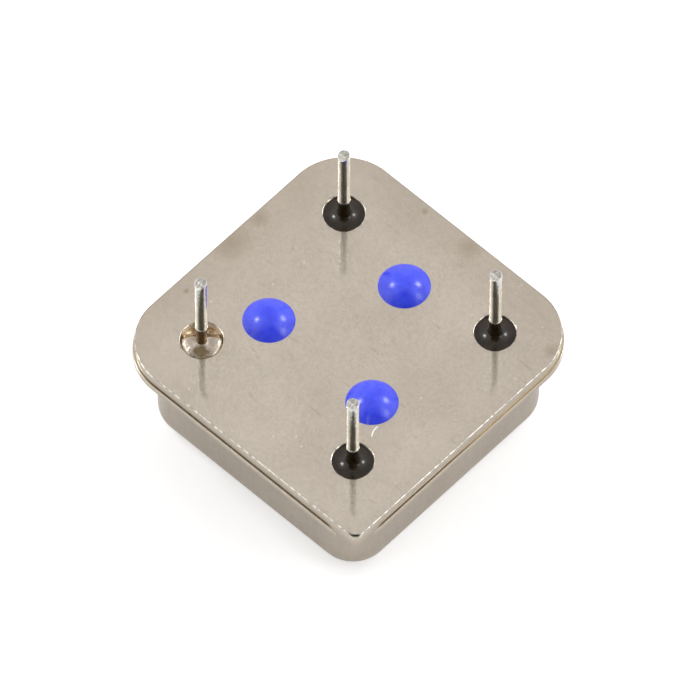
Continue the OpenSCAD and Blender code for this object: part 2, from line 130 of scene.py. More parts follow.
def piece_of(name, grids, finishes, sharp=32):
    """One closed mesh from grids of points: every cell is two triangles and shared points are one.

    grids is a list of (points, finish number), with points as rows by columns by XYZ.
    """
    points, faces, numbers, start = [], [], [], 0
    for grid, number in grids:
        rows, columns = grid.shape[:2]
        index = start + np.arange(rows * columns).reshape(rows, columns)
        a, b, c, d = index[:-1, :-1], index[:-1, 1:], index[1:, 1:], index[1:, :-1]
        made = np.concatenate([np.stack(t, -1).reshape(-1, 3) for t in ((a, b, c), (a, c, d))])
        points.append(grid.reshape(-1, 3))
        faces.append(made)
        numbers.append(np.full(len(made), number))
        start += rows * columns
    points, faces, numbers = map(np.concatenate, (points, faces, numbers))
    keys = np.round(points * 1e4).astype(np.int64)
    _, first, where = np.unique(keys, axis=0, return_index=True, return_inverse=True)
    faces = where.reshape(-1)[faces]
    a, b, c = faces.T
    real = (a != b) & (b != c) & (c != a)
    faces, numbers = faces[real], numbers[real]

    mesh = bpy.data.meshes.new(name)
    mesh.vertices.add(len(first))
    mesh.vertices.foreach_set("co", (points[first] * MM).ravel())
    mesh.loops.add(faces.size)
    mesh.loops.foreach_set("vertex_index", faces.ravel())
    mesh.polygons.add(len(faces))
    mesh.polygons.foreach_set("loop_start", np.arange(len(faces)) * 3)
    mesh.polygons.foreach_set("material_index", numbers)
    mesh.update(calc_edges=True)
    made = bmesh.new()
    made.from_mesh(mesh)
    bmesh.ops.recalc_face_normals(made, faces=made.faces)
    made.to_mesh(mesh)
    made.free()
    mesh.shade_smooth()
    mesh.set_sharp_from_angle(angle=np.radians(sharp))
    for finish in finishes:
        mesh.materials.append(finish)
    obj = bpy.data.objects.new(name, mesh)
    bpy.context.collection.objects.link(obj)
    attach(obj, "root")
    return obj


def add(tree, kind, inputs=(), **settings):
    """Adds a shader node. inputs holds its sockets' values, or the outputs that feed them."""
    made = tree.nodes.new("ShaderNode" + kind)
    for key, value in settings.items():
        setattr(made, key, value)
    for key, value in dict(inputs).items():
        if isinstance(value, bpy.types.NodeSocket):
            tree.links.new(value, made.inputs[key])
        else:
            made.inputs[key].default_value = value
    return made


def new_finish(name, **sockets):
    """A material with its shader, and the object's coordinates in millimetres."""
    finish = bpy.data.materials.new(name)
    finish.use_nodes = True
    tree = finish.node_tree
    shader = tree.nodes["Principled BSDF"]
    for key, value in sockets.items():
        shader.inputs[key.replace("_", " ")].default_value = value
    place = add(tree, "TexCoord").outputs["Object"]
    place = add(tree, "VectorMath", {0: place, "Scale": 1 / MM}, operation="SCALE").outputs[0]
    return finish, tree, shader, place


def noise(tree, place, per_mm, detail=3.0, rough=0.55, stretch=(1, 1, 1)):
    """Noise with the given number of waves in a millimetre, on stretched coordinates."""
    if stretch != (1, 1, 1):
        place = add(tree, "Mapping", {"Vector": place, "Scale": stretch}).outputs[0]
    made = add(
        tree, "TexNoise", {"Vector": place, "Scale": per_mm, "Detail": detail, "Roughness": rough}
    )
    return made.outputs["Fac"]


def ramp(tree, value, *stops):
    """A colour or a grey for each value: stops are (value, grey or colour)."""
    made = add(tree, "ValToRGB", {"Fac": value})
    band = made.color_ramp
    while len(band.elements) < len(stops):
        band.elements.new(0.5)
    for spot, (at, colour) in zip(band.elements, stops):
        spot.position = at
        spot.color = (*colour, 1) if isinstance(colour, tuple) else (colour, colour, colour, 1)
    return made.outputs["Color"]


def mixed(tree, share, first, second, blend="MIX"):
    """Two colours mixed by a share, which may vary over the surface."""
    made = add(tree, "Mix", data_type="RGBA", blend_type=blend)
    sockets = made.inputs[0], made.inputs[6], made.inputs[7]
    for socket, value in zip(sockets, (share, first, second)):
        if isinstance(value, bpy.types.NodeSocket):
            tree.links.new(value, socket)
        else:
            socket.default_value = (*value, 1) if isinstance(value, tuple) else value
    return made.outputs[2]


def maths(tree, how, *values):
    """One sum on numbers or on other nodes' outputs."""
    return add(tree, "Math", dict(enumerate(values)), operation=how).outputs[0]


def distance(tree, place, spot):
    """The distance of each point from a spot."""
    made = add(tree, "VectorMath", {0: place, 1: spot}, operation="DISTANCE")
    return made.outputs["Value"]


def faded(tree, value, start, end):
    """A value made a share: 0 at start and 1 at end, in a straight line and held beyond them."""
    return add(tree, "MapRange", {"Value": value, "From Min": start, "From Max": end}).outputs[0]


def toward_rear(tree, place):
    """How far each point lies towards the two rear sides: the greater of -X and Y."""
    across = add(tree, "SeparateXYZ", {0: place}).outputs
    return maths(tree, "MAXIMUM", maths(tree, "MULTIPLY", across["X"], -1.0), across["Y"])


def outward(tree, place):
    """How far each point lies out from the middle: the greater of X and Y without their signs."""
    across = add(tree, "SeparateXYZ", {0: place}).outputs
    sizes = [maths(tree, "ABSOLUTE", across[axis]) for axis in "XY"]
    return maths(tree, "MAXIMUM", *sizes)


def bumped(tree, shader, height, depth, under=None):
    """Raises the surface by height times depth, in millimetres, on top of another bump."""
    inputs = {"Height": height, "Distance": depth * MM, "Strength": 1.0}
    if under:
        inputs["Normal"] = under
    made = add(tree, "Bump", inputs).outputs[0]
    tree.links.new(made, shader.inputs["Normal"])
    return made


def satin_nickel(name, dark, light, roughness, grain_depth):
    """Satin nickel plate: bright peaks between matt pits, slow drifts of tone, rolling lines."""
    finish, tree, shader, place = new_finish(name, Metallic=1.0)
    grain = noise(tree, place, 9, 4, 0.65)
    drift = noise(tree, place, 0.35, 2)
    tone = ramp(tree, grain, (0.3, dark), (0.7, light))
    tone = mixed(tree, 0.35, tone, ramp(tree, drift, (0.35, dark), (0.65, light)))
    pits = noise(tree, place, 60, 2, 0.6)
    rough = ramp(tree, pits, (0.44, 0.09), (0.56, roughness))
    rolled = noise(tree, place, 14, 2, 0.6, (1, 0.06, 1))
    normal = bumped(tree, shader, rolled, grain_depth * 0.5)
    bumped(tree, shader, grain, grain_depth, normal)
    tree.links.new(tone, shader.inputs["Base Color"])
    tree.links.new(rough, shader.inputs["Roughness"])
    return finish, tree, shader, place, tone, rough


def spots(tree, place, listed, wobble):
    """How far each point lies inside the nearest of some spots (x, y, radius), from 0 to 1."""
    uneven = maths(tree, "MULTIPLY_ADD", noise(tree, place, wobble, 3), 0.9, 0.55)
    cover = None
    for x, y, radius in listed:
        inside = maths(tree, "DIVIDE", distance(tree, place, (x, y, FACE_Z)), radius)
        inside = maths(tree, "SUBTRACT", 1.0, maths(tree, "MULTIPLY", inside, uneven))
        inside = add(tree, "Clamp", {"Value": inside}).outputs[0]
        cover = maths(tree, "MAXIMUM", cover, inside) if cover else inside
    return cover


header_plate, tree, shader, place, tone, rough = satin_nickel(
    "header_nickel", (0.54, 0.47, 0.39), (0.70, 0.62, 0.52), 0.42, 0.0005
)
# Brown stains where plating salts dried near the edges, and a few small dark specks
STAINS = [(-6.0, 0.0, 0.9), (-5.95, 1.5, 0.5), (0.6, 5.9, 0.6), (5.9, 4.65, 0.4)]
SPECKS = [(-1.7, 5.9, 0.16), (-5.7, -2.65, 0.12)]
stained = maths(tree, "MULTIPLY", spots(tree, place, STAINS, 3), 0.5)
specked = ramp(tree, spots(tree, place, SPECKS, 6), (0.0, 0.0), (0.5, 0.5))
tone = mixed(tree, stained, tone, (0.33, 0.25, 0.16))
tone = mixed(tree, specked, tone, (0.30, 0.24, 0.12))
# The plate is painted darker towards its rear sides as shade, and its side is painted darker below
# the rounded edge as shade towards the gap under the rim
rear = faded(tree, toward_rear(tree, place), 4.4, 6.3)
tone = mixed(tree, maths(tree, "MULTIPLY", rear, 0.4), tone, (0.42, 0.35, 0.27))
height = add(tree, "SeparateXYZ", {0: place}).outputs["Z"]
on_side = maths(tree, "GREATER_THAN", outward(tree, place), 6.1)
shade_below = maths(tree, "MULTIPLY", faded(tree, height, SIDE_FOOT_Z, 4.6), on_side)
tone = mixed(tree, maths(tree, "MULTIPLY", shade_below, 0.8), tone, (0.47, 0.41, 0.34))
# The recess of the ground joint is wetted by the braze, and its wall is painted brighter and
# yellower as light in the recess
wetted_and_painted_light = faded(tree, distance(tree, place, (-PIN_C, -PIN_C, 4.6)), 0.87, 0.84)
tone = mixed(tree, wetted_and_painted_light, tone, (0.86, 0.75, 0.58))
# Handling left short fine scratches across the plate
handled = add(
    tree, "Mapping", {"Vector": place, "Rotation": (0, 0, -0.75), "Scale": (0.35, 2.2, 1)}
).outputs[0]
handled = ramp(tree, noise(tree, handled, 2.6, 2, 0.6), (0.66, 0.0), (0.74, 0.4))
tone = mixed(tree, handled, tone, (0.40, 0.35, 0.28))
# Grit left tiny pale marks in the plate, and a tool left one curved scratch, painted near white as
# its glint
grit = add(tree, "TexVoronoi", {"Vector": place, "Scale": 1.1}).outputs["Distance"]
tone = mixed(tree, ramp(tree, grit, (0.03, 0.7), (0.06, 0.0)), tone, (0.86, 0.82, 0.74))
SCRATCH_CENTRE, SCRATCH_MIDDLE = (4.06, -2.19, FACE_Z), (3.49, -2.36, FACE_Z)
SCRATCH_R, SCRATCH_HALF_W, SCRATCH_REACH = 0.60, 0.022, 0.24
off = maths(tree, "SUBTRACT", distance(tree, place, SCRATCH_CENTRE), SCRATCH_R)
thin = maths(tree, "LESS_THAN", maths(tree, "ABSOLUTE", off), SCRATCH_HALF_W)
short = maths(tree, "LESS_THAN", distance(tree, place, SCRATCH_MIDDLE), SCRATCH_REACH)
scratch_glint = maths(tree, "MULTIPLY", thin, short)
tone = mixed(tree, scratch_glint, tone, (0.97, 0.96, 0.93))
tree.links.new(tone, shader.inputs["Base Color"])
tree.links.new(mixed(tree, scratch_glint, rough, (0.6, 0.6, 0.6)), shader.inputs["Roughness"])

# Next to the weld the plate is scorched brown and painted dark as shade in the gap under the rim,
# less so where the weld runs out at the sharp corner, and it is scorched to straw yellow along the
# +X side
groove_scorch_and_shade, tree, shader, place, tone, rough = satin_nickel(
    "weld_groove_scorch_and_shade", (0.24, 0.17, 0.10), (0.44, 0.35, 0.25), 0.5, 0.001
)
away = distance(tree, place, (HEADER_HALF, -HEADER_HALF, RIM_Z))
tone = mixed(tree, faded(tree, away, 1.9, 1.2), tone, (0.47, 0.41, 0.34))
across = add(tree, "SeparateXYZ", {0: place}).outputs
heated = maths(
    tree, "MULTIPLY", faded(tree, across["X"], 5.5, 6.0), faded(tree, across["Y"], -4.0, 1.0)
)
tone = mixed(tree, heated, tone, (0.74, 0.66, 0.44))
tree.links.new(tone, shader.inputs["Base Color"])

# The rounded edge is burnished in the press and is painted brighter still as its highlight line,
# and its fine nicks catch the light. At the rear it is painted dark as shade, and the mouths of the
# holes are duller than the edge
burnish_and_highlight, tree, shader, place, tone, rough = satin_nickel(
    "burnished_edge_and_highlight", (0.72, 0.67, 0.58), (0.94, 0.90, 0.82), 0.25, 0.003
)
rear = faded(tree, toward_rear(tree, place), 5.9, 6.15)
tone = mixed(tree, rear, tone, (0.34, 0.28, 0.21))
inside = faded(tree, outward(tree, place), 6.1, 5.9)
tone = mixed(tree, inside, tone, (0.66, 0.59, 0.50))
nicks = ramp(tree, noise(tree, place, 4.5, 2, 0.7), (0.42, 0.5), (0.6, 1.0))
tree.links.new(mixed(tree, 1.0, tone, nicks, "MULTIPLY"), shader.inputs["Base Color"])


def eased(share):
    """A share held between 0 and 1, with a soft start and end: 3 s squared less 2 s cubed."""
    share = np.clip(share, 0, 1)
    return share ** 2 * (3 - 2 * share)


def near_key(ring, reach, fade):
    """How near each point of a ring is to the key corner: 0 at reach, 1 a fade closer to it."""
    away = np.abs(ring[:, :2] - [HEADER_HALF, -HEADER_HALF]).max(1)
    return eased((reach - away) / fade)[:, None]


def plate_cell(quarters, rows, key_r=None):
    """A quarter of the header between its top edge and its platform, through the pin's hole.

    rows are (radius, z) down the hole, and the first MOUTH_ROWS are its rounded mouth. The rings
    run straight from the plate's edge to the hole, so the flat faces and the hole are one sheet.
    """
    place = turned(np.array([PIN_C, PIN_C]), quarters)
    top = cell_ring(HEADER_HALF - BEVEL, FACE_Z, quarters, key_r and key_r - BEVEL)
    if key_r:
        wide = cell_ring(HEADER_HALF - KEY_BEVEL, FACE_Z, quarters, key_r - KEY_BEVEL)
        top = top + (wide - top) * near_key(top, KEY_REACH, KEY_FADE)
    foot = cell_ring(PLATFORM_HALF, PLATFORM_Z, quarters)
    angles = np.arctan2(top[:, 1] - place[1], top[:, 0] - place[0])
    rings = [circle_ring(place, angles, r, z) for r, z in rows]
    face = between(top, rings[0], (0, 0.5, 0.97, 0.99))
    under = between(rings[-1], foot, (0.02, 0.5, 1))
    return [
        (np.array(face + rings[:1]), 0),
        (np.array(rings[:MOUTH_ROWS]), 2),
        (np.array(rings[MOUTH_ROWS - 1:] + under), 0),
    ]


def mouth(radius):
    """The rounded mouth of a hole: a quarter circle from the face down to the wall."""
    a = np.linspace(0, np.pi / 2, MOUTH_ROWS)
    return list(
        zip(radius + MOUTH_R * (1 - np.sin(a)), FACE_Z - MOUTH_R * (1 - np.cos(a)))
    )


seal_hole = mouth(SEAL_R) + [(SEAL_R, PLATFORM_Z)]
ground_hole = mouth(RECESS_R) + [
    (RECESS_R, RECESS_Z + 0.04), (RECESS_R - 0.04, RECESS_Z), (BORE_R, RECESS_Z),
    (BORE_R, PLATFORM_Z),
]
cells = (
    plate_cell(0, seal_hole)
    + plate_cell(1, seal_hole)
    + plate_cell(2, ground_hole)
    + plate_cell(3, seal_hole, KEY_R)
)


def rounding(radius, angle):
    """A ring on the rounded edge, at an angle above the side."""
    inset = radius * (1 - np.cos(angle))
    return edge_ring(HEADER_HALF - inset, FACE_Z - radius * (1 - np.sin(angle)), KEY_R - inset)


# The edge is rounded: an arc that runs from the face down to the side, and is wider at the key
# corner. The weld fills the gap under it near that corner, and nearly so along the +X side
at_key = near_key(rounding(BEVEL, np.pi / 2), KEY_REACH, KEY_FADE)
rounded = [
    rounding(BEVEL, a) + (rounding(KEY_BEVEL, a) - rounding(BEVEL, a)) * at_key
    for a in np.radians(np.linspace(90, 0, 7))
]
rim = edge_ring(HEADER_HALF, RIM_Z, KEY_R)
at_corner = near_key(rim, KEY_SEAM, SEAM_FADE)
to_rear = np.clip((rim[:, 1:2] + 3) / 3, 0, 1)
beside = np.clip((rim[:, :1] - 5.4) / 0.6, 0, 1) * (0.7 + 0.28 * to_rear)


def weld_row(out, z, weld_out, weld_z):
    """A ring under the rim at (out, z), which swells to (weld_out, weld_z) near the corner."""
    plain = edge_ring(out, z, KEY_R if out > RIDGE_OUT else None)
    flush = edge_ring(weld_out, weld_z, KEY_R)
    share = np.maximum(at_corner, beside) if out == RIDGE_OUT else at_corner
    inside = plain + (edge_ring(HEADER_HALF - 0.02, z, KEY_R) - plain) * share
    return inside + (flush - inside) * at_corner


side = [
    rounded[-1],
    edge_ring(HEADER_HALF, SIDE_FOOT_Z, KEY_R),
    weld_row(HEADER_HALF, RIM_Z + 0.04, 6.262, 4.6),
    weld_row(HEADER_HALF, RIM_Z + 0.015, 6.275, 4.53),
]
groove = [
    side[-1],
    weld_row(HEADER_HALF - 0.012, RIM_Z, 6.285, 4.46),
    weld_row(RIDGE_OUT, RIM_Z, 6.293, 4.39),
    weld_row(RIDGE_OUT, FLANGE_Z + 0.03, 6.298, 4.33),
    weld_row(RIDGE_OUT, FLANGE_Z + 0.015, 6.30, 4.27),
    weld_row(RIDGE_OUT, FLANGE_Z, 6.296, 4.225),
    edge_ring(RIDGE_IN, FLANGE_Z),
    edge_ring(RIDGE_IN, RIM_Z),
    edge_ring(PLATFORM_HALF, RIM_Z),
]
platform = [groove[-1], edge_ring(PLATFORM_HALF, PLATFORM_Z)]
header = piece_of(
    "header_plate",
    cells
    + [(np.array(rounded), 2), (np.array(side), 0), (np.array(groove), 1), (np.array(platform), 0)],
    [header_plate, groove_scorch_and_shade, burnish_and_highlight],
)
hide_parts("header")

# ---- Glass seals ----
# Beads of dark glass are melted into three of the header's holes and hold their pins, insulated
# from the can. The melt climbs each pin in a meniscus, and above that as a thin film.

GLASS_Z = 4.88
CLIMB, CLIMB_REACH = 0.20, 0.25
FILM_Z, FILM_REACH = 5.87, 0.012
PLACES = {
    "supply": (PIN_C, PIN_C), "output": (-PIN_C, PIN_C),
    "ground": (-PIN_C, -PIN_C), "enable": (PIN_C, -PIN_C),
}


def turned_round(place, profile, steps=96, lumps=None):
    """A profile of (radius, z) carried round an upright axis; lumps changes the radius by angle."""
    angles = np.linspace(0, 2 * np.pi, steps + 1)
    angles[-1] = 0
    radius, z = np.array(profile, float).T[:, :, None]
    if lumps:
        radius = radius * (1 + lumps(angles) * (radius > CORE_R + 0.01))
    return circle_ring(place, angles + radius * 0, radius, z)


glass, tree, shader, place = new_finish("seal_glass", IOR=1.43)
cloud = noise(tree, place, 4, 3)
tone = ramp(tree, cloud, (0.3, (0.010, 0.006, 0.002)), (0.75, (0.030, 0.018, 0.008)))
tree.links.new(tone, shader.inputs["Base Color"])
tree.links.new(maths(tree, "MULTIPLY_ADD", cloud, 0.12, 0.11), shader.inputs["Roughness"])
bumped(tree, shader, noise(tree, place, 3.0, 1), 0.004)

r = CORE_R + (SEAL_R - CORE_R) * np.linspace(0, 1, 30) ** 1.6
# The meniscus and the film both fall off by an exponential of the distance from the wire, and
# near the wire the film draws in to the bare neck
surface = np.exp(-(r - CORE_R) / CLIMB_REACH) - np.exp(-(SEAL_R - CORE_R) / CLIMB_REACH)
surface = CLIMB * surface
film = (FILM_Z - GLASS_Z - CLIMB) * np.exp(-(r - CORE_R) / FILM_REACH)
drawn_in = 0.012 * np.exp(-(r - CORE_R) / 0.05)
top = np.column_stack([r - drawn_in, GLASS_Z + surface + film])
foot = np.column_stack([r, PLATFORM_Z - surface])[::-1]
for name in ("enable", "output", "supply"):
    bead = np.concatenate([top, foot, top[:1]])
    seal = piece_of(f"glass_{name}", [(turned_round(PLACES[name], bead), 0)], [glass], 60)
    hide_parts(f"seal_{name}")

# ---- Pins ----
# Each pin is a straight nickel-iron wire, plated bright from just above the glass film to its
# end. A shear cuts it off, which leaves half of the end flat and tears the rest into a slope.

PIN_R = 0.23
TIP_Z, STUB_Z = 8.85, 2.71
NECK_R, NECK_Z = 0.212, 5.1
PLATED_Z = 5.89
FACET_Y, FACET_SLOPE = -0.04, np.tan(np.radians(28))
EDGE_R = 0.012

wire, tree, shader, place = new_finish("pin_plate", Metallic=1.0)
drawn = noise(tree, place, 22, 3, 0.6, (1, 1, 0.03))
blotch = noise(tree, place, 2.2, 4, 0.6)
grain = noise(tree, place, 30, 3, 0.6)
tone = ramp(tree, blotch, (0.34, (0.72, 0.73, 0.69)), (0.60, (0.88, 0.91, 0.87)))
tone = mixed(tree, 0.25, tone, ramp(tree, grain, (0.3, 0.6), (0.7, 0.95)))
tree.links.new(tone, shader.inputs["Base Color"])
tree.links.new(maths(tree, "MULTIPLY_ADD", blotch, 0.10, 0.045), shader.inputs["Roughness"])
normal = bumped(tree, shader, noise(tree, place, 4.2, 4, 0.65), 0.020)
bumped(tree, shader, drawn, 0.0004, normal)

sheared, tree, shader, place = new_finish("sheared_end", Metallic=1.0)
torn = noise(tree, place, 16, 4, 0.7, (1, 0.22, 0.22))
tone = ramp(
    tree, torn, (0.35, (0.28, 0.26, 0.23)), (0.55, (0.54, 0.52, 0.47)), (0.75, (0.86, 0.85, 0.81))
)
tree.links.new(tone, shader.inputs["Base Color"])
tree.links.new(maths(tree, "MULTIPLY_ADD", torn, 0.3, 0.2), shader.inputs["Roughness"])
bumped(tree, shader, torn, 0.012)

bare, tree, shader, place = new_finish("bare_wire", Metallic=1.0)
scale = noise(tree, place, 9, 3)
tone = ramp(tree, scale, (0.3, (0.26, 0.19, 0.12)), (0.7, (0.42, 0.32, 0.22)))
tree.links.new(tone, shader.inputs["Base Color"])
tree.links.new(maths(tree, "MULTIPLY_ADD", scale, 0.3, 0.15), shader.inputs["Roughness"])
bumped(tree, shader, scale, 0.002)

start = np.arcsin(FACET_Y / PIN_R)
upper = np.linspace(start, np.pi - start, 49)
lower = np.linspace(np.pi - start, 2 * np.pi + start, 49)


def tip_height(points):
    """The end of a pin: flat, then down a slope past the facet's line."""
    return TIP_Z - np.clip(FACET_Y - points[..., 1], 0, None) * FACET_SLOPE


def pin_part(place, angles):
    """One side of a pin, from its end inside the can up to the middle of its tip.

    The wall's rings are circles cut by the tip's height, and the tip's run in to a chord. The
    wire is bare up to the plating's round lower edge.
    """
    ring = np.stack([np.cos(angles), np.sin(angles)], -1)
    rim = tip_height(ring * PIN_R)
    bare = [
        np.column_stack([ring * r, np.full(len(ring), z)])
        for r, z in ((0, STUB_Z), (CORE_R - 0.02, STUB_Z), (CORE_R, STUB_Z + 0.03),
                     (CORE_R, NECK_Z - 0.05), (NECK_R, NECK_Z), (NECK_R, PLATED_Z - 0.02))
    ]
    rows = [
        np.column_stack([ring * r, np.full(len(ring), PLATED_Z + z)])
        for r, z in ((NECK_R, -0.02), (PIN_R, -0.024), (PIN_R + 0.011, -0.012),
                     (PIN_R + 0.013, 0.004), (PIN_R + 0.009, 0.02), (PIN_R + 0.002, 0.032),
                     (PIN_R, 0.05))
    ]
    wall = np.column_stack([ring * PIN_R, rim - EDGE_R])
    rows += between(rows[-1], wall, (0.25, 0.5, 0.75, 0.95, 1))
    for a in np.radians([30, 60, 90]):
        inner = ring * (PIN_R - EDGE_R * (1 - np.cos(a)))
        rows.append(np.column_stack([inner, rim - EDGE_R * (1 - np.sin(a))]))
    chord_x = ring[:, 0] * (PIN_R - EDGE_R)
    chord_x = np.linspace(chord_x[0], chord_x[-1], len(ring))
    chord = np.stack([chord_x, np.full(len(ring), rows[-1][0, 1])], -1)
    end = np.column_stack([chord, tip_height(chord)])
    cap = between(rows[-1], end, (0, 0.25, 0.5, 0.75, 1))
    shift = [*place, 0]
    return [np.array(part) + shift for part in (bare, rows, cap)]


# Each half gives three parts: the bare wire, the plated wall and the sheared end
for name, at in PLACES.items():
    parts = pin_part(at, upper) + pin_part(at, lower)
    pin = piece_of(
        f"wire_{name}", list(zip(parts, (2, 0, 1, 2, 0, 1))), [wire, sheared, bare], 40
    )
    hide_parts(f"pin_{name}")

# ---- Ground joint ----
# The ground pin has no glass: it stands in a blind recess of the header, and a bead of braze
# metal, drawn up round it by its own surface tension, joins it to the steel.

BEAD_R, BEAD_Z = 0.78, 4.98
SAG_TOWARD = (0.685, -0.728)

braze, tree, shader, place = new_finish("braze_metal", Metallic=1.0)
skin = noise(tree, place, 2.6, 3, 0.55)
frost = noise(tree, place, 18, 3, 0.6)
tone = ramp(tree, skin, (0.3, (0.38, 0.31, 0.24)), (0.6, (0.56, 0.49, 0.41)))
# A dark brown patch in front of the pin is painted as the dark reflection in the bead's front slope
painted_dark_reflection = distance(tree, place, (-3.48, -4.16, 4.86))
painted_dark_reflection = maths(tree, "MULTIPLY_ADD", noise(tree, place, 4, 3, 0.7), 0.5, painted_dark_reflection)
tone = mixed(tree, ramp(tree, painted_dark_reflection, (0.46, 0.88), (0.60, 0.0)), tone, (0.21, 0.145, 0.07))
tree.links.new(tone, shader.inputs["Base Color"])
tree.links.new(maths(tree, "MULTIPLY_ADD", frost, 0.2, 0.10), shader.inputs["Roughness"])
normal = bumped(tree, shader, skin, 0.03)
bumped(tree, shader, frost, 0.002, normal)

angles = np.linspace(0, 2 * np.pi, 97)
angles[-1] = 0
share = np.linspace(0, 1, 36)[:, None]
radius = CORE_R + (BEAD_R - CORE_R) * share
# The bead is a height over angle and share of the way out: it falls off to a shoulder at the
# wall, sags to one side of the pin and lies lower behind it, with small ripples
nearer = np.cos(angles) * SAG_TOWARD[0] + np.sin(angles) * SAG_TOWARD[1]
behind = np.clip((-radius * nearer - 0.05) / 0.4, 0, 1)
shoulder = 0.07 * share + 0.03 * share ** 3 + 0.13 * share ** 12 * (1 - behind)
sagged = (0.5 + 0.5 * nearer) ** 3 * (0.17 * share - shoulder)
fallen = shoulder + sagged + 0.22 * eased(behind)
fallen = fallen + 0.006 * share * np.sin(5 * angles + 0.6) + 0.004 * share * np.sin(9 * angles)
top = circle_ring(PLACES["ground"], angles, radius, BEAD_Z - fallen)
foot = circle_ring(PLACES["ground"], angles, np.array([[BEAD_R], [CORE_R]]), RECESS_Z)
bead = piece_of("braze_bead", [(np.concatenate([top, foot, top[:1]]), 0)], [braze], 50)
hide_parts("ground_braze")

# ---- Standoffs ----
# Three drops of blue glass are melted on to the header's face between the pins. They hold the
# can off the circuit board, so that it can be washed under and its seals don't touch the board.

DOME_R, DOME_H, DOME_REACH = 0.98, 0.42, 3.0

blue, tree, shader, place = new_finish("blue_glass", IOR=1.52)
cloud = noise(tree, place, 2.4, 4, 0.65)
tree.links.new(maths(tree, "MULTIPLY_ADD", cloud, 0.16, 0.14), shader.inputs["Roughness"])
tone = ramp(tree, cloud, (0.32, (0.034, 0.052, 0.78)), (0.68, (0.062, 0.094, 0.96)))
pores = add(tree, "TexVoronoi", {"Vector": place, "Scale": 7.0}).outputs["Distance"]
pores = ramp(tree, pores, (0.03, 0.35), (0.07, 0.0))
tree.links.new(mixed(tree, pores, tone, (0.25, 0.3, 0.95)), shader.inputs["Base Color"])
normal = bumped(tree, shader, noise(tree, place, 1.2, 1), 0.01)
bumped(tree, shader, noise(tree, place, 9, 2), 0.0012, normal)

sphere_r = (DOME_R ** 2 + DOME_H ** 2) / (2 * DOME_H)
a = np.linspace(0, np.arcsin(DOME_R / sphere_r), 28)
profile = np.column_stack([sphere_r * np.sin(a), FACE_Z + DOME_H - sphere_r * (1 - np.cos(a))])
profile = np.concatenate([profile, [[0, FACE_Z]]])
for name, angle in (("rear", 90), ("left", 210), ("right", 330)):
    at = DOME_REACH * np.array([np.cos(np.radians(angle)), np.sin(np.radians(angle))])
    dome = piece_of(f"drop_{name}", [(turned_round(at, profile), 0)], [blue], 35)
    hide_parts(f"standoff_{name}")

# ---- Substrate and circuit ----
# Inside, an alumina plate is glued under the header's platform on a film of epoxy. Gold is
# printed and fired on it, and the die, its bond wires, the bypass capacitor and the solder
# that joins the pins' stubs all sit on that gold.


def dressed(finish, *nodes):
    """Gives nodes of the frame a finish."""
    for name in nodes:
        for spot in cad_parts[name].material_slots:
            spot.material = finish


def grained(name, dark, light, per_mm, depth, rough, **sockets):
    """A matt finish: grains of two close tones, with roughness and bump from the same noise."""
    finish, tree, shader, place = new_finish(name, **sockets)
    grain = noise(tree, place, per_mm, 4, 0.6)
    drift = noise(tree, place, per_mm * 0.12, 2)
    tone = mixed(
        tree, 0.4, ramp(tree, grain, (0.3, dark), (0.7, light)),
        ramp(tree, drift, (0.35, dark), (0.65, light)),
    )
    tree.links.new(tone, shader.inputs["Base Color"])
    tree.links.new(maths(tree, "MULTIPLY_ADD", grain, 0.2, rough - 0.1), shader.inputs["Roughness"])
    bumped(tree, shader, grain, depth)
    return finish


dressed(grained("alumina", (0.78, 0.77, 0.71), (0.88, 0.87, 0.82), 24, 0.003, 0.6), "substrate")
dressed(
    grained("epoxy", (0.30, 0.18, 0.06), (0.42, 0.27, 0.10), 5, 0.004, 0.3, Coat_Weight=0.3),
    "substrate_bond",
)
dressed(
    grained("fired_gold", (0.72, 0.46, 0.14), (0.88, 0.62, 0.25), 30, 0.002, 0.4, Metallic=1.0),
    "conductors",
)
dressed(
    grained("solder", (0.56, 0.56, 0.55), (0.74, 0.74, 0.72), 12, 0.004, 0.26, Metallic=1.0),
    "solder_joints",
)
dressed(
    grained("bond_gold", (0.80, 0.55, 0.20), (0.92, 0.70, 0.32), 40, 0.0005, 0.2, Metallic=1.0),
    "bond_wires",
)
dressed(
    grained("fired_ceramic", (0.42, 0.31, 0.20), (0.56, 0.43, 0.29), 16, 0.003, 0.5),
    "bypass_capacitor",
)
dressed(
    grained("matt_tin", (0.60, 0.60, 0.60), (0.76, 0.76, 0.77), 20, 0.003, 0.4, Metallic=1.0),
    "capacitor_ends",
)

# The die's face is cut into dark blocks by fine bright tracks, under clear glass
silicon, tree, shader, place = new_finish("silicon_die", Coat_Weight=0.6, Coat_Roughness=0.08)
blocks = add(
    tree, "TexBrick",
    {"Vector": place, "Scale": 5.0, "Mortar Size": 0.03, "Color1": (0.05, 0.06, 0.11, 1),
     "Color2": (0.10, 0.08, 0.13, 1), "Mortar": (0.42, 0.36, 0.28, 1)},
).outputs["Color"]
haze = noise(tree, place, 3, 2)
hazed = ramp(tree, haze, (0.3, (0.03, 0.05, 0.12)), (0.7, (0.12, 0.07, 0.12)))
tree.links.new(mixed(tree, 0.25, blocks, hazed), shader.inputs["Base Color"])
tree.links.new(maths(tree, "MULTIPLY_ADD", haze, 0.2, 0.15), shader.inputs["Roughness"])
bumped(tree, shader, haze, 0.001)
dressed(silicon, "oscillator_chip")

# ---- Crystal ----
# A round blank of quartz, lapped and polished, carries a silver electrode on each face. Two
# lanced clips of nickel strip hold it by its edge, glued with silver-filled epoxy.

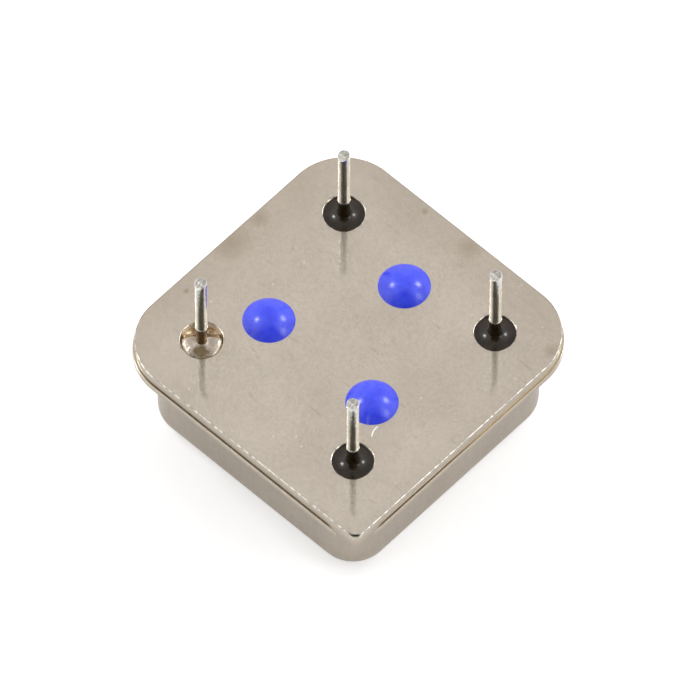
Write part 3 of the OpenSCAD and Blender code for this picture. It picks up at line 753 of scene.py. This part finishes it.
quartz, tree, shader, place = new_finish(
    "quartz", Transmission_Weight=0.9, IOR=1.54, Base_Color=(0.96, 0.97, 0.97, 1)
)
lapped = noise(tree, place, 26, 3)
tree.links.new(maths(tree, "MULTIPLY_ADD", lapped, 0.2, 0.05), shader.inputs["Roughness"])
bumped(tree, shader, lapped, 0.0008)
dressed(quartz, "quartz_blank")
dressed(
    grained("silver_film", (0.84, 0.83, 0.80), (0.93, 0.92, 0.89), 26, 0.0008, 0.2, Metallic=1.0),
    "electrode_header_side", "electrode_lid_side",
)
dressed(
    grained("clip_nickel", (0.60, 0.57, 0.50), (0.74, 0.71, 0.64), 18, 0.002, 0.3, Metallic=1.0),
    "crystal_clip_left", "crystal_clip_right",
)
dressed(
    grained("silver_epoxy", (0.40, 0.40, 0.39), (0.60, 0.60, 0.58), 22, 0.008, 0.5, Metallic=0.6),
    "conductive_dabs",
)

# ---- Cover ----
# The cover is drawn from nickel-plated strip: a lid, a wall and a flange in one skin, with a
# round bend at each fold. Its flange is welded to the header's ridge all the way round.

CAN_HALF = 5.4
SKIN_T = 0.22
LID_R, ROOT_R = 0.85, 0.25
FLANGE_HALF = 6.3
BREAK_R, BREAK_MID = 0.016, 0.005
DRAWN_BACK = 0.02


def bend_rows(centre_half, centre_z, radius, first, last, steps):
    """Rings round the can along an arc of its section, from one angle to another."""
    for a in np.radians(np.linspace(first, last, steps)):
        yield edge_ring(centre_half + radius * np.cos(a), centre_z + radius * np.sin(a))


# The cover's nickel has darker tones than the header's: painted shade on its walls.
cover_skin, tree, shader, place, tone, rough = satin_nickel(
    "cover_nickel_shaded", (0.46, 0.40, 0.335), (0.60, 0.53, 0.45), 0.5, 0.0008
)
# Drawing marks run up the wall, and the flange's edge is painted brighter towards its top as its
# highlight line
marks = noise(tree, place, 7, 3, 0.6, (1, 1, 0.05))
height = add(tree, "SeparateXYZ", {0: place}).outputs["Z"]
rolled = maths(tree, "MULTIPLY", faded(tree, height, FLANGE_Z - 0.3, FLANGE_Z), 0.5)
tone = mixed(tree, rolled, tone, (0.66, 0.58, 0.47))
streaks = ramp(tree, marks, (0.3, (0.40, 0.34, 0.28)), (0.7, (0.64, 0.56, 0.47)))
tone = mixed(tree, 0.12, tone, streaks)
tree.links.new(tone, shader.inputs["Base Color"])

wall_foot = FLANGE_Z - SKIN_T - ROOT_R
lid_half = CAN_HALF - LID_R
lid_edge = edge_ring(lid_half, 0)
lid_outer = [lid_edge * [s, s, 1] for s in (0, 0.5, 0.97, 1)]
lid_inner = [ring + [0, 0, SKIN_T] for ring in lid_outer[::-1]]
outer = list(bend_rows(lid_half, LID_R, LID_R, -90, 0, 13))
outer += list(bend_rows(CAN_HALF + ROOT_R, wall_foot, ROOT_R, 180, 90, 9))


def lip_row(inset, z):
    """A ring on the flange's edge, which draws back under the weld near the key corner."""
    ring = edge_ring(FLANGE_HALF - inset, z, KEY_R - inset)
    back = edge_ring(FLANGE_HALF - inset - DRAWN_BACK, z, KEY_R - inset - DRAWN_BACK)
    return ring + (back - ring) * at_corner


lip = [
    lip_row(BREAK_R, FLANGE_Z - SKIN_T),
    lip_row(BREAK_MID, FLANGE_Z - SKIN_T + BREAK_MID),
    lip_row(0, FLANGE_Z - SKIN_T + BREAK_R),
    lip_row(0, FLANGE_Z - BREAK_R),
    lip_row(BREAK_MID, FLANGE_Z - BREAK_MID),
    lip_row(BREAK_R, FLANGE_Z),
]
inner = list(bend_rows(CAN_HALF + ROOT_R, wall_foot, ROOT_R + SKIN_T, 90, 180, 9))
inner += list(bend_rows(lid_half, LID_R, LID_R - SKIN_T, 0, -90, 13))
skin = np.array(
    lid_outer
    + outer[1:]
    + between(outer[-1], lip[0], (0.05, 0.95))
    + lip
    + between(lip[-1], inner[0], (0.05, 0.95))
    + inner
    + lid_inner
)
cover = piece_of("cover_skin", [(skin, 0)], [cover_skin])
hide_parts("cover")

# ---- Table, lamps and camera ----
# The can lies on a plain pale table inside a white tent with brighter sides, which is open and
# dark towards the camera. Two small lamps stand behind the can, one on each side.

AZIMUTH, ELEVATION = np.radians(43.26), np.radians(57.5)
RIGHT = np.array([np.cos(AZIMUTH), np.sin(AZIMUTH), 0])
AHEAD = np.array([-np.sin(AZIMUTH), np.cos(AZIMUTH), 0])
BACK = -AHEAD * np.cos(ELEVATION) + np.array([0, 0, np.sin(ELEVATION)])
UP = AHEAD * np.sin(ELEVATION) + np.array([0, 0, np.cos(ELEVATION)])


def placed(name, data, spot, facing):
    """Puts a lamp or a camera at a spot, facing a point, with its top upwards."""
    made = bpy.data.objects.new(name, data)
    bpy.context.collection.objects.link(made)
    z = np.array(spot, float) - facing
    z /= np.linalg.norm(z)
    x = np.cross([0, 0, 1], z)
    x /= np.linalg.norm(x)
    turn = np.eye(4)
    turn[:3, 0], turn[:3, 1], turn[:3, 2], turn[:3, 3] = x, np.cross(z, x), z, spot
    made.matrix_world = turn.T
    return made


CAMERA_AWAY = 0.6
aim = (np.array([0, 0, FACE_Z]) + 0.058 * RIGHT - 0.506 * UP) * MM
lens = bpy.data.cameras.new("camera")
lens.sensor_width, lens.lens = 36, 840.9
lens.clip_start, lens.clip_end = 0.05, 5
bpy.context.scene.camera = placed("camera", lens, aim + CAMERA_AWAY * BACK, aim)

scene = bpy.context.scene
scene.view_settings.view_transform = "Standard"
LAMP_AWAY = 0.7
# Each lamp's direction as (right, ahead, up), then its size and power
LAMPS = {"lamp_left": (-0.56, 0.33, 0.76, 0.11, 0.8), "lamp_right": (0.63, 0.40, 0.67, 0.16, 0.8)}
for name, (right, ahead, up, size, power) in LAMPS.items():
    lamp = bpy.data.lights.new(name, "AREA")
    lamp.shape, lamp.size = "DISK", size
    lamp.energy = power
    placed(name, lamp, LAMP_AWAY * (RIGHT * right + AHEAD * ahead + [0, 0, up]), [0, 0, 0.005])

tent = bpy.data.worlds.new("tent")
scene.world = tent
tent.use_nodes = True
tree = tent.node_tree
sky = tree.nodes["Background"]
toward = add(tree, "TexCoord").outputs["Generated"]


def near(right, ahead, up, last, first):
    """How close the sky is to a direction: 0 beyond last degrees from it, 1 inside first."""
    direction = RIGHT * right + AHEAD * ahead + [0, 0, up]
    direction /= np.linalg.norm(direction)
    cosine = add(
        tree, "VectorMath", {0: toward, 1: tuple(direction)}, operation="DOT_PRODUCT"
    ).outputs["Value"]
    ends = np.cos(np.radians([last, first]))
    limits = {"Value": cosine, "From Min": ends[0], "From Max": ends[1]}
    return add(tree, "MapRange", limits, interpolation_type="SMOOTHSTEP").outputs[0]


# Each patch of the tent: its direction, where it ends and where it is whole, and its light
light = (0.98, 0.98, 0.98)
for patch, shade in (
    ((0, 0, 1, 60, 15), (0.75, 0.75, 0.76)),
    ((-0.87, 0.15, 0.48, 47, 30), (1.32, 1.32, 1.32)),
    ((0.87, 0.15, 0.48, 47, 30), (1.30, 1.30, 1.30)),
    ((0.71, -0.25, 0.65, 13, 7), (4.5, 4.5, 4.5)),
    ((0, -0.9, 0.43, 58, 44), (0.30, 0.29, 0.27)),
    ((0, -0.643, 0.766, 35, 27), (0.02, 0.018, 0.01)),
):
    light = mixed(tree, near(*patch), light, shade)
seen = add(tree, "LightPath").outputs["Is Camera Ray"]
tree.links.new(mixed(tree, seen, light, (1.0, 1.0, 1.0)), sky.inputs["Color"])

table = bpy.data.meshes.new("table")
TABLE_HALF, TABLE_GAP = 0.6, 0.00002
u = np.array([-TABLE_HALF, TABLE_HALF])
grid = np.stack(np.meshgrid(u, u), -1).reshape(-1, 2)
table.from_pydata(np.column_stack([grid, np.full(4, -TABLE_GAP)]).tolist(), [], [(0, 1, 3, 2)])
table_obj = bpy.data.objects.new("table", table)
bpy.context.collection.objects.link(table_obj)
paper = bpy.data.materials.new("paper")
paper.use_nodes = True
tree = paper.node_tree
shader = tree.nodes["Principled BSDF"]
shader.inputs["Base Color"].default_value = (0.72, 0.72, 0.72, 1)
shader.inputs["Roughness"].default_value = 0.9
path = add(tree, "LightPath").outputs
mirrored = maths(tree, "MAXIMUM", path["Is Glossy Ray"], path["Is Transmission Ray"])
mirrored = maths(tree, "MULTIPLY", mirrored, 0.23)
shown = maths(tree, "MULTIPLY_ADD", path["Is Camera Ray"], 0.55, mirrored)
shader.inputs["Emission Color"].default_value = (1, 1, 1, 1)
tree.links.new(shown, shader.inputs["Emission Strength"])
table.materials.append(paper)
